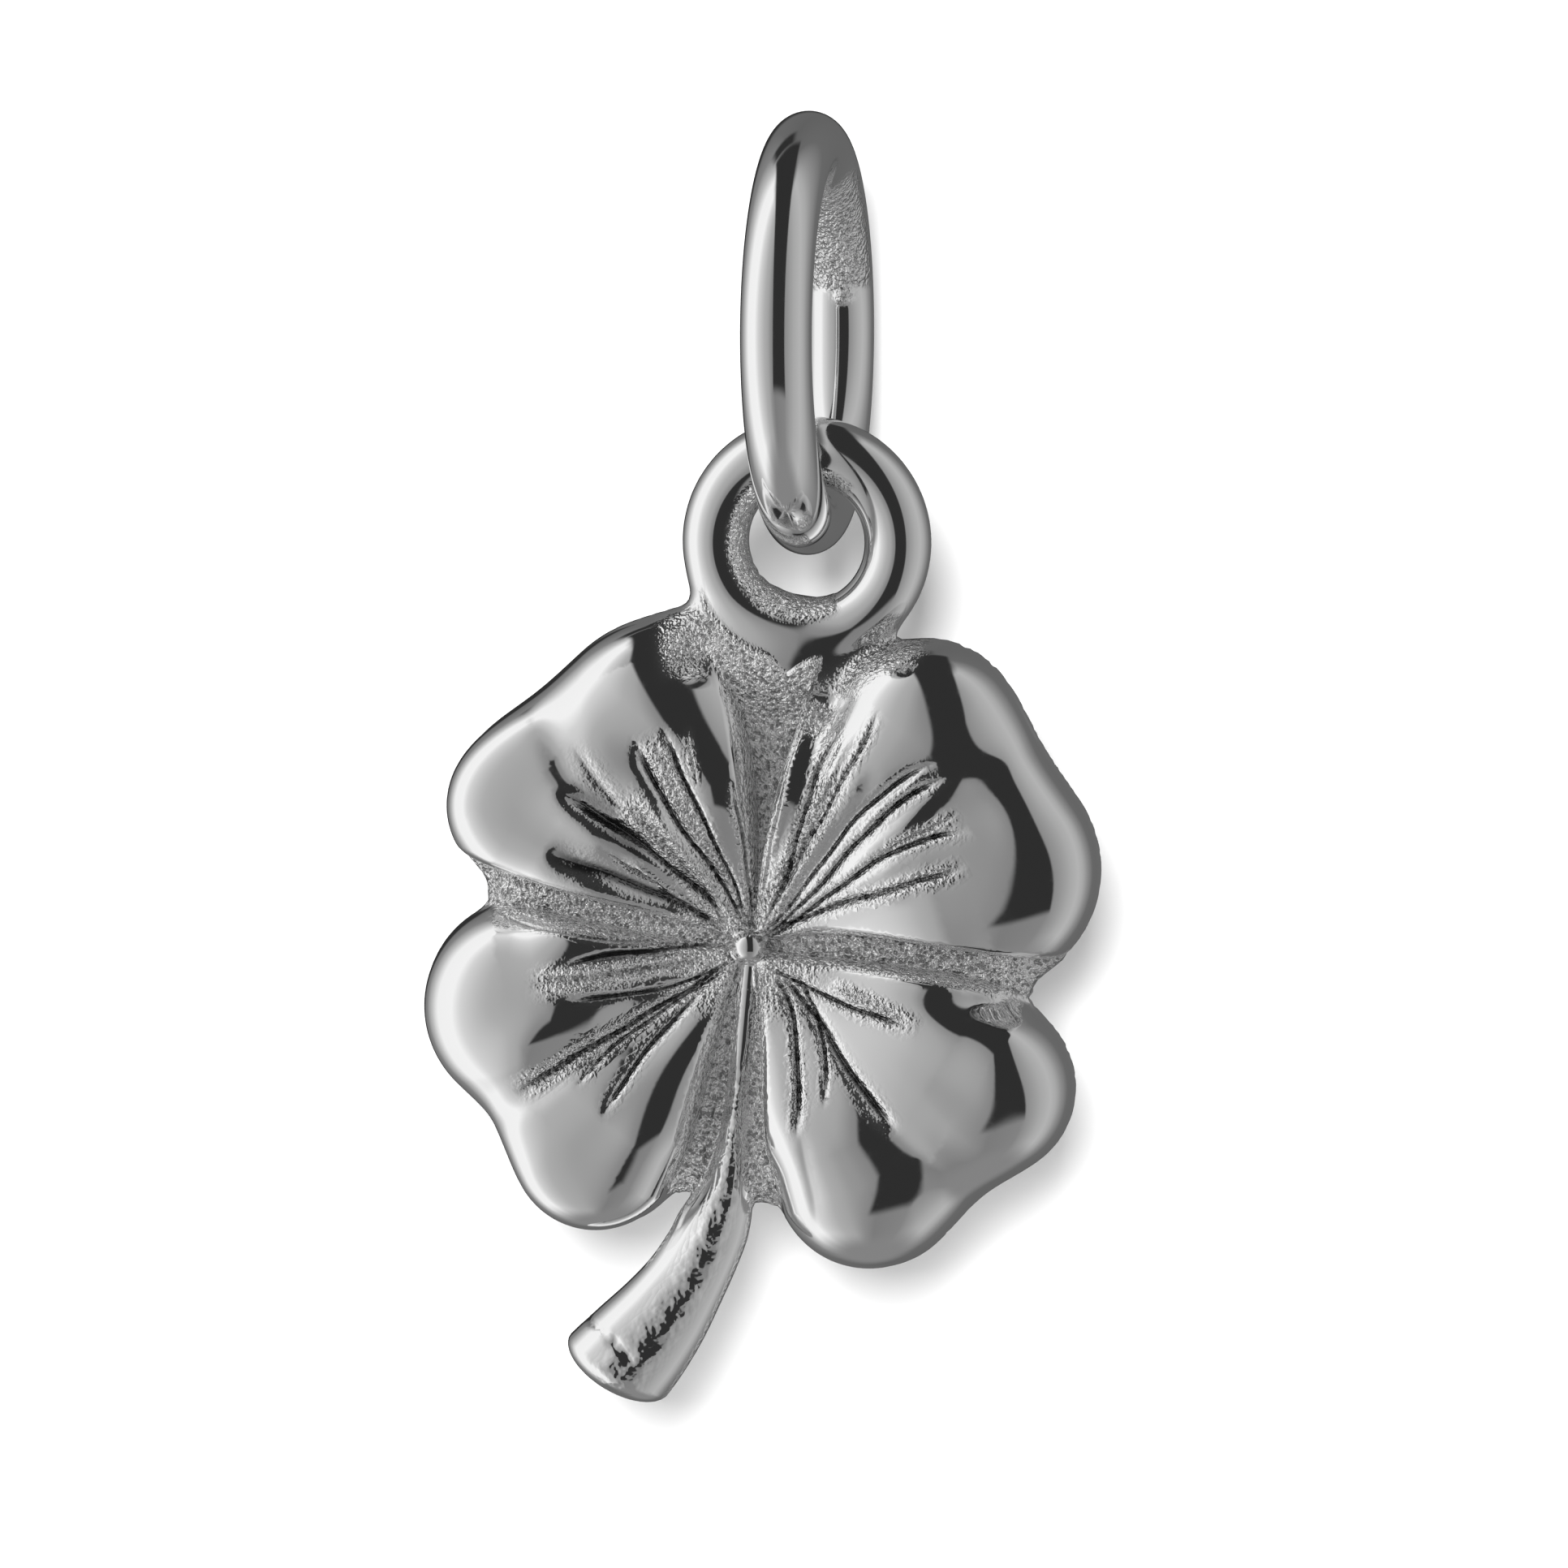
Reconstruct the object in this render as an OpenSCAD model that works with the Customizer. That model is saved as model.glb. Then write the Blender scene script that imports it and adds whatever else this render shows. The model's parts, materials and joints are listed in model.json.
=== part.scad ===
// Four leaf clover pendant: a cast charm with an eyelet that hangs on a soldered jump ring.
// The origin is where a chain bears on the inside of the ring, at its top.
// +Z is up, the clover's face looks towards -Y, and the ring stands across it, in the YZ plane.

/* [Jump ring] */
// Inside diameter of the ring
ring_inside = 4.8; // [4:0.1:7]
// Diameter of the ring's round wire
ring_wire = 1.1; // [0.8:0.05:1.3]

/* [Eyelet] */
// How much wider the eyelet's hole is than the ring's wire
eyelet_play = 0.78; // [0.4:0.02:1.4]
// Diameter of the eyelet's round rim
eyelet_wire = 1.06; // [0.8:0.02:1.4]
// Clearance between the ring's wire and the top of the eyelet's hole
hang_gap = 0.04; // [0.02:0.01:0.1]

/* [Clover] */
// Reach of the longest leaf lobe from the centre bead
clover_reach = 5.95; // [4.8:0.05:7]
// Reach of the web that joins the leaves, from the centre bead
web_reach = 4.25; // [3.6:0.05:4.7]
// Length of the neck between the web's edge and the eyelet's rim
neck_length = 0.25; // [0.1:0.05:1]
// Height of the leaf domes in front of the casting's middle plane
dome_height = 1.35; // [0.9:0.05:1.8]
// Height of the leaves where they meet at the bead
core_height = 0.62; // [0.4:0.02:0.85]
// Height of the grooves' floor between the leaves
floor_height = 0.3; // [0.1:0.02:0.4]
// Depth of the plain back behind the middle plane
back_depth = 0.55; // [0.4:0.05:0.9]
// Radius that rounds the back's edge
edge_round = 0.45; // [0.2:0.05:0.6]
// Half of the width of a groove's floor between two leaves
groove_half = 0.16; // [0.05:0.01:0.3]
// Distance over which a leaf's flank rises out of the groove
flank_run = 0.75; // [0.4:0.05:1.2]
// Depth of the crease along the middle of each leaf
crease_depth = 0.14; // [0.05:0.01:0.25]
// Width of that crease
crease_width = 0.5; // [0.3:0.05:0.9]
// Diameter of the centre bead
bead_d = 0.56; // [0.4:0.02:0.9]
// Height of the bead's middle as a share of core_height
bead_share = 0.7; // [0.5:0.05:1]

/* [Stem] */
// Reach of the stem's end from the centre bead
stem_reach = 7.25; // [6.7:0.05:9]
// Width of the stem at its flared end
stem_width = 1.88; // [1.2:0.05:2.2]
// Thickness of the stem as a share of its width
stem_flatness = 0.82; // [0.6:0.02:1]

/* [Pose] */
// Lean of the charm from the plumb line
charm_lean = 7.4; // [0:0.2:20]

/* [Hidden] */
steel_grey = [0.72, 0.72, 0.73];
silver_grey = [0.62, 0.62, 0.64];

ring_r = (ring_inside + ring_wire) / 2;
// The wire's middle at the bottom of the ring, which the charm swings about
pivot_z = -(ring_inside / 2 + ring_r);

eyelet_hole = ring_wire + eyelet_play;
eyelet_r = (eyelet_hole + eyelet_wire) / 2;
// Distances down the charm from the pivot
eyelet_drop = eyelet_play / 2 - hang_gap;

// Round lobes of the leaves, two to a leaf, seen from the bead.
// The angle is counted from the charm's right, and lengths are shares of clover_reach.
ANGLE = 0;
CENTRE = 1;
RADIUS = 2;
LOBES = [
    [27, 0.653, 0.324], [58, 0.747, 0.254],
    [120, 0.524, 0.403], [156, 0.704, 0.236],
    [204.5, 0.653, 0.293], [240, 0.705, 0.235],
    [304.5, 0.699, 0.261], [336.5, 0.728, 0.251]
];
// A lobe is a cone that grows from this share of its radius at the bead
lobe_root = 0.15;
// Blend between the two lobes of a leaf, and between two leaves, as shares of clover_reach
notch_blend = 0.2;
valley_blend = 0.125;
// Blend between the web and the leaves' flanks
web_blend = 0.06;
// Shares of a lobe's length over which a leaf rises from core_height to dome_height
rise_start = 0.1;
rise_end = 0.85;

// Middles of the grooves between the leaves, and of the crease along each leaf
GROOVES = [2, 93, 177.5, 271.5];
CREASES = [46, 136, 222, 309];
// Shares of clover_reach between which a crease runs
crease_start = 0.12;
crease_end = 0.86;

// Stations down the stem: across and down from the bead as shares of stem_reach, the width as a
// share of stem_width, the height of the middle as a share of floor_height, and the turn of the section
ACROSS = 0;
DOWN = 1;
WIDTH = 2;
RAISE = 3;
TURN = 4;
STEM = [
    [0.000, 0.000, 0.14, 1.15, 0],
    [0.010, 0.250, 0.17, 1.2, 0],
    [0.014, 0.430, 0.23, 1.2, 0],
    [0.011, 0.550, 0.45, 0.6, 2],
    [-0.008, 0.635, 0.62, 0.2, 9],
    [-0.026, 0.702, 0.66, 0.1, 18],
    [-0.057, 0.784, 0.72, 0.0, 26],
    [-0.094, 0.860, 0.82, 0.0, 29],
    [-0.138, 0.932, 0.92, 0.0, 28],
    [-0.184, 1.000, 1.00, 0.0, 22]
];
// How far the stem's rounded end stands out, as a share of its half width
stem_end = 0.46;
// Points round the stem, and sections from one station to the next
stem_points = 22;
stem_steps = 3;

// Directions, front rings and back rings of the clover's mesh
turns = 152;
front_rings = 21;
back_shares = [0.995, 0.975, 0.935, 0.88];

function blend_min(a, b, k) = min(a, b) - pow(max(k - abs(a - b), 0), 2) / (4 * k);
function ease(t) = let (c = min(max(t, 0), 1)) c * c * (3 - 2 * c);
function heading(a) = [cos(a), sin(a)];

// Distance from a point to a lobe's edge, negative inside, with the lobe's own radius and height there
function lobe_at(lobe, p) =
    let (
        length = lobe[CENTRE] * clover_reach,
        s = min(max(p * heading(lobe[ANGLE]), 0), length),
        radius = lobe[RADIUS] * clover_reach * (lobe_root + (1 - lobe_root) * s / length),
        rise = ease((s / length - rise_start) / (rise_end - rise_start))
    )
    [norm(p - s * heading(lobe[ANGLE])) - radius, radius, core_height + (dome_height - core_height) * rise];

function leaf_edge(i, p) =
    blend_min(lobe_at(LOBES[2 * i], p)[0], lobe_at(LOBES[2 * i + 1], p)[0], notch_blend * clover_reach);

// The leaves alone, without the web
function leaves_edge(p, k = valley_blend * clover_reach) =
    blend_min(
        blend_min(leaf_edge(0, p), leaf_edge(1, p), k),
        blend_min(leaf_edge(2, p), leaf_edge(3, p), k),
        k);

// The leaves and the web that joins them
function clover_edge(p) = blend_min(leaves_edge(p), norm(p) - web_reach, web_blend * clover_reach);

// Reach of the outline in one direction, found by halving
function reach_at(a, low = 0, high = 2 * clover_reach, tries = 20) =
    let (middle = (low + high) / 2)
    tries == 0 ? middle
    : clover_edge(middle * heading(a)) < 0 ? reach_at(a, middle, high, tries - 1)
    : reach_at(a, low, middle, tries - 1);

// Mean of the lobes' radii and heights at a point, the nearest lobes counting most
function lobe_mix(p) =
    let (
        all = [for (lobe = LOBES) lobe_at(lobe, p)],
        nearest = min([for (l = all) l[0]]),
        weights = [for (l = all) exp((nearest - l[0]) / (0.03 * clover_reach))],
        total = weights * [for (l = all) 1]
    )
    [weights * [for (l = all) l[1]] / total, weights * [for (l = all) l[2]] / total];

function off_line(p, a) = p * heading(a) > 0 ? abs(cross(p, heading(a))) : norm(p);

function crease_at(p) =
    let (
        off = min([for (a = CREASES) off_line(p, a)]) / (crease_width / 2),
        share = norm(p) / clover_reach,
        fade = ease((share - crease_start) / 0.1) * ease((crease_end - share) / 0.2)
    )
    crease_depth * fade * pow(max(1 - off * off, 0), 2);

// Height of the front above the middle plane
function front_at(p) =
    let (
        inside = max(-clover_edge(p), 0),
        mix = lobe_mix(p),
        deep = min(max(-leaves_edge(p), 0) / mix[0], 1),
        crown = sqrt(deep * (2 - deep)),
        off = min([for (a = GROOVES) off_line(p, a)]),
        climb = min(max((off - groove_half) / flank_run, 0), 1),
        flank = sqrt(climb * (2 - climb)),
        rim = sqrt(min(inside / edge_round, 1) * (2 - min(inside / edge_round, 1)))
    )
    rim * floor_height + max(mix[1] * crown - rim * floor_height, 0) * flank - crease_at(p) * flank;

function back_at(p) =
    let (t = min(max(-clover_edge(p), 0) / edge_round, 1))
    -back_depth * sqrt(t * (2 - t));

module clover_body() {
    angles = [for (i = [0 : turns - 1]) 360 * i / turns];
    reaches = [for (a = angles) reach_at(a)];
    front_shares = [for (j = [1 : front_rings]) sin(90 * j / front_rings)];
    front = [for (share = front_shares, i = [0 : turns - 1])
        let (p = share * reaches[i] * heading(angles[i]))
        [p[0], share < 1 ? -front_at(p) : 0, p[1]]];
    back = [for (share = back_shares, i = [0 : turns - 1])
        let (p = share * reaches[i] * heading(angles[i]))
        [p[0], -back_at(p), p[1]]];
    rings = len(front_shares) + len(back_shares);
    front_pole = rings * turns;
    function id(ring, i) = ring * turns + i % turns;
    walls = [for (ring = [0 : rings - 2], i = [0 : turns - 1], half = [0, 1])
        half == 0 ? [id(ring, i), id(ring, i + 1), id(ring + 1, i + 1)]
        : [id(ring, i), id(ring + 1, i + 1), id(ring + 1, i)]];
    front_cap = [for (i = [0 : turns - 1]) [front_pole, id(0, i + 1), id(0, i)]];
    back_cap = [for (i = [0 : turns - 1]) [front_pole + 1, id(rings - 1, i), id(rings - 1, i + 1)]];
    polyhedron(
        points = concat(front, back, [[0, -front_at([0, 0]), 0], [0, back_depth, 0]]),
        faces = concat(walls, front_cap, back_cap));
}

// A row of the stem's table at any place between two stations, on a smooth curve through them
function stem_row(place) =
    let (
        last = len(STEM) - 1,
        i = min(floor(place), last - 1),
        t = place - i,
        a = STEM[max(i - 1, 0)],
        b = STEM[i],
        c = STEM[i + 1],
        d = STEM[min(i + 2, last)]
    )
    b + 0.5 * t * ((c - a) + t * ((2 * a - 5 * b + 4 * c - d) + t * (3 * b - a - 3 * c + d)));

// One section of the stem, shrunk and moved along by shares of its half width
function stem_section(row, shrink = 1, along = 0) =
    let (r = row[WIDTH] * stem_width / 2)
    [for (k = [0 : stem_points - 1])
        let (
            turn = 360 * (k + 0.5) / stem_points,
            side = r * shrink * cos(turn),
            ahead = r * along
        )
        [
            row[ACROSS] * stem_reach + side * cos(row[TURN]) - ahead * sin(row[TURN]),
            -row[RAISE] * floor_height - r * shrink * stem_flatness * sin(turn),
            -row[DOWN] * stem_reach - side * sin(row[TURN]) - ahead * cos(row[TURN])
        ]];

module stem() {
    last = len(STEM) - 1;
    sections = concat(
        [for (j = [0 : stem_steps * last]) stem_section(stem_row(j / stem_steps))],
        [for (a = [20 : 17.5 : 90]) stem_section(STEM[last], max(cos(a), 0.12), stem_end * sin(a))]);
    n = stem_points;
    top = len(sections) - 1;
    function id(ring, k) = ring * n + k % n;
    walls = [for (ring = [0 : top - 1], k = [0 : n - 1], half = [0, 1])
        half == 0 ? [id(ring, k), id(ring + 1, k + 1), id(ring, k + 1)]
        : [id(ring, k), id(ring + 1, k), id(ring + 1, k + 1)]];
    polyhedron(
        points = [for (section = sections) each section],
        faces = concat(walls, [[for (k = [0 : n - 1]) k], [for (k = [n - 1 : -1 : 0]) id(top, k)]]));
}

// Turn about the eyelet's middle, from straight down, at which the neck leaves the rim
neck_turn = 47;
// Distance from the bead up to the eyelet's middle
bead_to_eyelet = web_reach + neck_length + eyelet_hole / 2 + eyelet_wire;

module eyelet() {
    rotate([90, 0, 0])
        rotate_extrude($fn = 48)
            translate([eyelet_r, 0])
                circle(d = eyelet_wire, $fn = 20);
}

// The neck spreads on both sides from the underside of the eyelet's rim to the leaves' shoulders
module neck() {
    low = eyelet_r + eyelet_wire * 0.75;
    for (side = [-1, 1])
        translate([0, 0, bead_to_eyelet])
            hull() {
                rotate([0, -side * neck_turn, 0])
                    translate([0, 0, -eyelet_r])
                        sphere(d = eyelet_wire * 0.7, $fn = 16);
                rotate([0, -side * neck_turn * 0.8, 0])
                    translate([0, 0, -low])
                        sphere(d = eyelet_wire * 0.8, $fn = 16);
                translate([0, -floor_height / 2, -low - neck_length])
                    sphere(d = eyelet_wire * 0.8, $fn = 16);
            }
}

module clover_charm() {
    color(silver_grey)
        translate([0, 0, pivot_z])
            rotate([0, charm_lean, 0])
                translate([0, 0, -eyelet_drop - bead_to_eyelet])
                    union() {
                        clover_body();
                        translate([0, -core_height * bead_share, 0])
                            sphere(d = bead_d, $fn = 20);
                        stem();
                        translate([0, 0, bead_to_eyelet])
                            eyelet();
                        neck();
                    }
}

module jump_ring() {
    color(steel_grey)
        translate([0, 0, -ring_inside / 2])
            rotate([0, 90, 0])
                rotate_extrude($fn = 96)
                    translate([ring_r, 0])
                        circle(d = ring_wire, $fn = 48);
}

jump_ring();
clover_charm();
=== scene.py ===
"""Four leaf clover pendant: a cast silver charm on a soldered jump ring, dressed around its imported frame.

The charm is one casting. Its leaves, web, bead, stem, neck and eyelet are one distance-like field, worked
out in millimetres in the charm's own frame: the bead is the origin, across is right, up is towards the
eyelet, and out is towards the clover's face. The field is meshed, refined along the veins and smoothed.
"""

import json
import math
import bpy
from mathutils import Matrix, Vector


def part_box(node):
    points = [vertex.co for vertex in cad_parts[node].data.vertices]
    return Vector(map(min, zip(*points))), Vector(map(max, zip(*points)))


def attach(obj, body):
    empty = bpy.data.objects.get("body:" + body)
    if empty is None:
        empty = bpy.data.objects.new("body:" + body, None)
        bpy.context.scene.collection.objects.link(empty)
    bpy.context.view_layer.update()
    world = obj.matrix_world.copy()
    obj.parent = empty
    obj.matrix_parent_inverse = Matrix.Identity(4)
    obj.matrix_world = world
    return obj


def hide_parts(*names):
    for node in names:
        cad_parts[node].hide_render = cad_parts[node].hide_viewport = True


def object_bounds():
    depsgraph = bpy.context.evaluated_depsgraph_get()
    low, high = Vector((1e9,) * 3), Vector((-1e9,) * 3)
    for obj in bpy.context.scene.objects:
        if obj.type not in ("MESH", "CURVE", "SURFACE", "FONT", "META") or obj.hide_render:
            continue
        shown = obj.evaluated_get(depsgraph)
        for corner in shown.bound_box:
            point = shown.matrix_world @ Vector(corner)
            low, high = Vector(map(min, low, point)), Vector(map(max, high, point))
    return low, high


bl_info = {
    "name": "Clover Pendant",
    "version": (1, 0, 0),
    "blender": (4, 5, 0),
    "location": "View3D > Sidebar > Pendant",
    "description": "Builds a cast clover charm, its jump ring and a small studio around the packed frame",
    "category": "Add Mesh",
}

from types import SimpleNamespace

import bpy
import numpy as np
from bpy.props import FloatProperty, FloatVectorProperty, PointerProperty
from mathutils import Matrix, Vector

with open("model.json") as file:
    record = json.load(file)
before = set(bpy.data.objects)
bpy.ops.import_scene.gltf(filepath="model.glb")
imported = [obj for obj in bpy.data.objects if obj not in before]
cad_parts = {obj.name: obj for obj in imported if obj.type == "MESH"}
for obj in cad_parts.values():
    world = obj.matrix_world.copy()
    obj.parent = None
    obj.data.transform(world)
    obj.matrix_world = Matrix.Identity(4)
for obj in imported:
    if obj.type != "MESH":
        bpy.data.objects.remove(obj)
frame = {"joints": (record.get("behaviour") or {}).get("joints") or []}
CAD_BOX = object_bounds()

MM = 0.001
RING_LOW, RING_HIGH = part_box("jump_ring")
RING_OUTSIDE = RING_HIGH.z - RING_LOW.z
RING_WIRE = RING_HIGH.x - RING_LOW.x
RING_MIDDLE = (RING_HIGH + RING_LOW) / 2
PIVOT = Vector(frame["joints"][0]["pos_m"])

# Lobes of the leaves, two to a leaf: angle in degrees from the charm's right, then the length from the
# bead to the lobe's middle and the lobe's radius, both as shares of the clover's reach, and how full the
# lobe's dome is as a share of the usual fullness
LOBES = (
    (27, 0.653, 0.324, 1.3),
    (58, 0.747, 0.254, 1.0),
    (120, 0.524, 0.403, 1.0),
    (156, 0.704, 0.236, 1.5),
    (204.5, 0.653, 0.293, 1.0),
    (240, 0.705, 0.235, 1.5),
    (304.5, 0.699, 0.261, 1.0),
    (336.5, 0.728, 0.251, 1.15),
)
# A lobe is a cone that grows from this share of its radius at the bead
LOBE_ROOT = 0.4
# Where along a lobe the leaf starts to rise to the dome's height, and over how much of the lobe
RISE_START, RISE_RUN = 0.1, 0.75
# Blends between a leaf's two lobes, between two leaves, and between the leaves and the web, and how far
# the radii and the heights of neighbouring lobes mix, as shares of the clover's reach
LOBE_BLEND, LEAF_BLEND, WEB_BLEND, RADIUS_MIX, HEIGHT_MIX = 0.2, 0.125, 0.06, 0.09, 0.03
# Near the bead the leaves are flat under their pleats: where they start to swell, and over what way, in mm
SWELL_START, SWELL_RUN = 1, 2.8
# The two edges of each leaf, where it rises from the grooves: 1 where the leaf lies beyond the edge and -1
# where it lies before it, the edge's angle at 1, 2.5 and 4 mm from the bead, and the width of the leaf's
# shoulder, in mm, and its slope at the edge, each at 1 mm and at 4 mm
LEAVES = (
    ((1, 18.2, 10.8, 6.8, 0.2, 0.8, 0.30, 0.30), (-1, 91.0, 87.4, 85.1, 0.1, 0.4, 0.50, 0.50)),
    ((1, 91.0, 95.0, 100.5, -0.2, 1.35, 0.00, 0.80), (-1, 170.1, 172.1, 172.1, 0.2, 0.8, 0.30, 0.30)),
    ((1, 183.9, 180.4, 178.9, 0.2, 0.8, 0.30, 0.30), (-1, 257.0, 260.0, 260.6, 0.2, 0.8, 0.51, 0.51)),
    ((1, 285.0, 282.0, 281.4, 0.2, 0.8, 0.51, 0.51), (-1, -0.2, 1.6, 0.0, 0.2, 0.8, 0.20, 0.10)),
)
# Broad swells and hollows of the leaves: the angle and the way from the bead, half the width and half the
# length outwards, and the height, negative for a hollow, all in mm
SWELLS = (
    (222, 2.3, 0.50, 1.1, -0.20),
    (247, 2.2, 0.35, 1.2, 0.05),
    (352, 4.5, 0.80, 0.8, 0.17),
    (36, 5.05, 0.75, 0.45, 0.065),
    (321, 4.2, 0.50, 0.6, 0.05),
    (136, 4.1, 0.55, 0.8, 0.13),
    (148, 3.1, 0.35, 0.7, 0.14),
    (166, 2.4, 0.30, 0.8, 0.10),
    (211, 3.8, 0.45, 0.6, 0.08),
)

# Stations down the stem: across and down as shares of its reach, the width as a share of its full width,
# how far the middle lies out of the casting's middle plane, as a share of the floor's height, and the turn
# of the section in degrees
STEM = (
    (0.000, 0.000, 0.14, 1.15, 0),
    (0.010, 0.250, 0.17, 1.20, 0),
    (0.014, 0.430, 0.23, 1.20, 0),
    (0.011, 0.550, 0.45, 0.60, 2),
    (-0.008, 0.635, 0.62, 0.20, 9),
    (-0.026, 0.702, 0.66, 0.10, 18),
    (-0.057, 0.784, 0.72, 0.00, 26),
    (-0.094, 0.860, 0.82, 0.00, 29),
    (-0.138, 0.932, 0.92, 0.00, 28),
    (-0.184, 1.000, 1.00, 0.00, 22),
)
# How far the stem's rounded end stands out, as a share of its half width
STEM_END = 0.46
# Creases cut across the stem: from and to a place, across and up from the bead, the width and depth, in mm
CREASES = (
    (-2.02, -6.55, -1.63, -6.59, 0.045, 0.035),
    (-1.63, -6.59, -1.33, -6.74, 0.045, 0.035),
    (-1.33, -6.74, -1.06, -6.94, 0.090, 0.060),
)

# Pleats of the leaves: the angle at 1, 2.5 and 4 mm from the bead, where the pleat starts and ends, its half
# width, its depth, negative for a ridge, all in mm, and how grainy it is, from 0 to 1
PLEATS = (
    (29, 28.5, 28, 0.6, 3.0, 0.13, -0.040, 0.0),
    (37, 31.6, 29.8, 0.4, 3.9, 0.11, 0.100, 0.7),
    (38.5, 42.2, 37.3, 0.4, 4.2, 0.09, 0.110, 0.4),
    (36, 38, 35.5, 1.7, 3.2, 0.11, -0.045, 0.0),
    (45, 43.6, 41, 2.9, 4.2, 0.07, 0.060, 0.7),
    (44.5, 46, 47.6, 0.6, 4.5, 0.16, -0.060, 0.0),
    (45.5, 51.3, 50.1, 0.4, 4.4, 0.09, 0.110, 0.4),
    (54, 53.3, 52.3, 2.7, 4.3, 0.06, -0.035, 0.3),
    (53, 57.2, 54.1, 0.4, 4.4, 0.07, 0.120, 0.2),
    (63, 63.5, 64.5, 0.6, 3.7, 0.18, -0.060, 0.0),
    (67, 66.8, 67.3, 1.0, 4.5, 0.07, 0.080, 0.6),
    (69, 69, 70, 0.9, 3.4, 0.20, 0.040, 1.0),
    (71, 71, 71.2, 2.7, 4.0, 0.08, -0.040, 0.2),
    (66.5, 73.8, 74, 0.6, 4.0, 0.08, 0.090, 0.7),
    (71, 77.5, 79, 1.2, 4.5, 0.15, -0.035, 0.0),
    (96, 99.6, 103, 0.5, 2.8, 0.07, 0.080, 0.5),
    (113, 112, 110.2, 2.9, 3.7, 0.05, 0.040, 0.6),
    (108.5, 114.4, 116.9, 0.5, 3.8, 0.08, 0.120, 0.2),
    (114, 119, 120, 0.9, 3.8, 0.20, 0.030, 1.0),
    (117.5, 124.3, 123, 0.5, 3.8, 0.10, 0.140, 0.1),
    (129, 128.6, 128, 0.6, 3.0, 0.11, -0.050, 0.0),
    (134, 134.5, 135, 0.9, 3.2, 0.22, 0.050, 1.0),
    (138, 138, 137.5, 2.9, 4.3, 0.16, 0.050, 0.2),
    (137, 142, 147.5, 0.7, 3.9, 0.17, 0.150, 0.1),
    (150.5, 150.5, 150, 0.9, 2.4, 0.07, -0.040, 0.3),
    (152, 152, 152, 1.7, 2.8, 0.05, 0.070, 0.3),
    (154, 159, 162, 0.6, 3.5, 0.27, 0.130, 0.1),
    (173, 173.6, 174, 1.4, 4.6, 0.05, -0.030, 1.0),
    (186, 184, 181.6, 0.8, 4.5, 0.04, 0.050, 0.2),
    (187.5, 187.3, 187, 0.9, 2.7, 0.07, -0.035, 0.0),
    (189.3, 191.6, 196, 0.6, 3.0, 0.09, 0.130, 0.1),
    (202, 198, 197.5, 0.7, 3.5, 0.18, 0.050, 0.9),
    (215, 203.8, 199, 0.9, 3.0, 0.09, -0.045, 0.0),
    (219, 206.5, 201, 0.6, 3.0, 0.08, 0.130, 0.1),
    (224, 221, 220.4, 0.6, 4.4, 0.13, 0.110, 0.8),
    (227, 224.5, 230, 0.6, 3.5, 0.07, 0.090, 0.5),
    (231, 234.3, 240, 1.2, 3.5, 0.09, 0.110, 0.3),
    (263.5, 264.5, 264.3, 1.0, 4.6, 0.05, 0.040, 0.3),
    (281, 283, 281, 0.8, 4.4, 0.05, -0.040, 0.2),
    (296, 296, 294, 3.1, 4.6, 0.22, 0.030, 0.0),
    (316, 298.4, 292, 0.8, 3.1, 0.13, 0.110, 0.5),
    (335, 310, 297, 1.0, 2.8, 0.11, 0.110, 0.5),
    (326, 319.9, 320, 0.9, 3.8, 0.14, 0.150, 0.3),
    (333.5, 343, 343.5, 0.7, 3.0, 0.11, 0.110, 0.5),
    (346, 346, 346, 1.6, 3.1, 0.12, 0.030, 1.0),
    (82, 83, 83.6, 0.8, 4.3, 0.04, 0.040, 0.2),
    (86.5, 86.5, 86.5, 0.9, 4.4, 0.05, -0.030, 0.5),
    (5.5, 3.2, 2.6, 0.9, 4.4, 0.05, -0.030, 0.8),
    (107, 107.5, 108, 4.65, 5.5, 0.25, 0.020, 1.0),
    (141, 142.5, 144, 2.2, 3.8, 0.50, 0.090, 0.0),
)


def blend_min(a, b, k):
    """Union of two fields, rounded over the length k where they meet."""
    return np.minimum(a, b) - np.maximum(k - np.abs(a - b), 0) ** 2 / (4 * k)


def ease(t):
    t = np.clip(t, 0, 1)
    return t * t * (3 - 2 * t)


def bend(angle, low, mid, high):
    """A curve through three angles at shares 0, 0.5 and 1."""
    return low + angle * (4 * mid - 3 * low - high) + angle ** 2 * (2 * low + 2 * high - 4 * mid)


def past(turn, angle):
    """How far directions are past an angle, from -180 to 180 degrees."""
    return (turn - angle + 180) % 360 - 180


def beside(turn, r, angle):
    """Distance from a ray that leaves the bead at an angle."""
    away = np.abs(past(turn, angle))
    return np.where(away < 90, r * np.sin(np.radians(np.minimum(away, 90))), r)


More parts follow.
